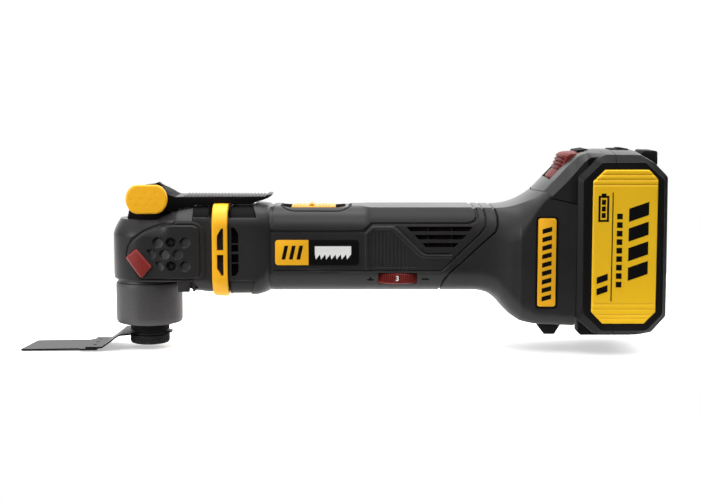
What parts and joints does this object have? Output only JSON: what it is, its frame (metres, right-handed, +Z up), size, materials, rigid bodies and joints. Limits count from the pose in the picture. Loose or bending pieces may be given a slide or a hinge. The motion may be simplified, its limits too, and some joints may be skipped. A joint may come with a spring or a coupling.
{
  "type": "cordless oscillating multi-tool",
  "caption": "Cordless oscillating multi-tool with an offset plunge blade, quick clamp lever, slide switch, speed wheel and a slide-on battery pack.",
  "frame": {"origin": "on the spindle axis, at the clamp knob's flat underside", "axes": "+X from the head towards the battery pack, +Z up along the spindle towards the lever, the tool's left side faces -Y"},
  "size_m": [0.4015, 0.077, 0.126],
  "materials": {
    "body_plastic": "moulded, fine even texture",
    "trim_plastic": "satin black",
    "rubber": "soft matte",
    "yellow_plastic": "semi-gloss",
    "pack_yellow": "satin",
    "red_plastic": "satin",
    "steel": "satin steel",
    "cast_metal": "painted casting",
    "windings": "enamelled copper on steel",
    "board": "solder-masked board",
    "cell_wrap": "shrink wrap"
  },
  "bodies": {
    "housing": {"gear_case": "cast_metal", "head_cover": "body_plastic", "side_panel_left": "body_plastic", "side_panel_right": "body_plastic", "accent_left": "red_plastic", "accent_right": "red_plastic", "panel_screw_left_1": "steel", "panel_screw_left_2": "steel", "panel_screw_right_1": "steel", "panel_screw_right_2": "steel", "housing_left": "body_plastic", "housing_right": "body_plastic", "collar_ring": "yellow_plastic", "badge_left": "yellow_plastic", "badge_right": "yellow_plastic", "rear_label_left": "yellow_plastic", "rear_label_right": "yellow_plastic", "rear_foot": "rubber", "stator": "windings", "front_motor_bearing": "steel", "rear_motor_bearing": "steel", "lower_spindle_bearing": "steel", "upper_spindle_bearing": "steel", "switch_body": "trim_plastic", "speed_control": "trim_plastic", "control_board": "board", "terminal_block": "trim_plastic", "clamp_spring": "steel"},
    "rotor": {"motor_shaft": "steel", "eccentric_bearing": "steel", "counterweight": "cast_metal", "cooling_fan": "trim_plastic", "rotor_core": "steel"},
    "spindle": {"output_spindle": "steel", "rocker_fork": "cast_metal", "tool_holder": "steel"},
    "clamp": {"clamp_knob": "trim_plastic", "saw_blade": "steel"},
    "rod": {"clamp_rod": "steel"},
    "lever": {"quick_lever": "trim_plastic", "lever_pin": "steel", "lever_cap_left": "yellow_plastic", "lever_cap_right": "yellow_plastic"},
    "slider": {"switch_slider": "yellow_plastic"},
    "wheel": {"speed_wheel": "red_plastic"},
    "battery": {"pack_case_front": "trim_plastic", "pack_case_rear": "trim_plastic", "pack_panel_left": "pack_yellow", "pack_panel_right": "pack_yellow", "pack_foot": "rubber", "pack_bumper": "rubber", "cell_pair_1": "cell_wrap", "cell_pair_2": "cell_wrap", "cell_pair_3": "cell_wrap", "cell_pair_4": "cell_wrap", "cell_pair_5": "cell_wrap", "cell_holder": "rubber", "pack_board": "board"},
    "button": {"release_button": "red_plastic"}
  },
  "joints": [
    {"name": "rotor_spin", "type": "hinge", "parent": "housing", "child": "rotor", "pos_m": [0.05, 0, 0.06], "axis": [1, 0, 0], "continuous": true},
    {"name": "spindle_swing", "type": "hinge", "parent": "housing", "child": "spindle", "pos_m": [0, 0, 0.02], "axis": [0, 0, 1], "range_deg": [-1.6, 1.6]},
    {"name": "clamp_release", "type": "slide", "parent": "spindle", "child": "clamp", "axis": [0, 0, -1], "range_m": [0, 0.03]},
    {"name": "lever_swing", "type": "hinge", "parent": "housing", "child": "lever", "pos_m": [0, 0, 0.092], "axis": [0, -1, 0], "range_deg": [0, 130]},
    {"name": "rod_slide", "type": "slide", "parent": "housing", "child": "rod", "axis": [0, 0, -1], "range_m": [0, 0.00255], "deforming": ["clamp_spring"]},
    {"name": "switch_slide", "type": "slide", "parent": "housing", "child": "slider", "axis": [-1, 0, 0], "range_m": [0, 0.005]},
    {"name": "wheel_turn", "type": "hinge", "parent": "housing", "child": "wheel", "pos_m": [0.157, -0.0046, 0.044], "axis": [0, 0, 1], "range_deg": [-90, 135]},
    {"name": "battery_slide", "type": "slide", "parent": "housing", "child": "battery", "axis": [0, 0, 1], "range_m": [0, 0.11]},
    {"name": "button_press", "type": "slide", "parent": "battery", "child": "button", "axis": [0.7281, 0, -0.6855], "range_m": [0, 0.003], "stiffness_N_per_m": 500, "springref_m": -0.002}
  ],
  "couplings": [
    {"joint": "rod_slide", "follows": "lever_swing", "m_per_rad": 0.0011018}
  ]
}
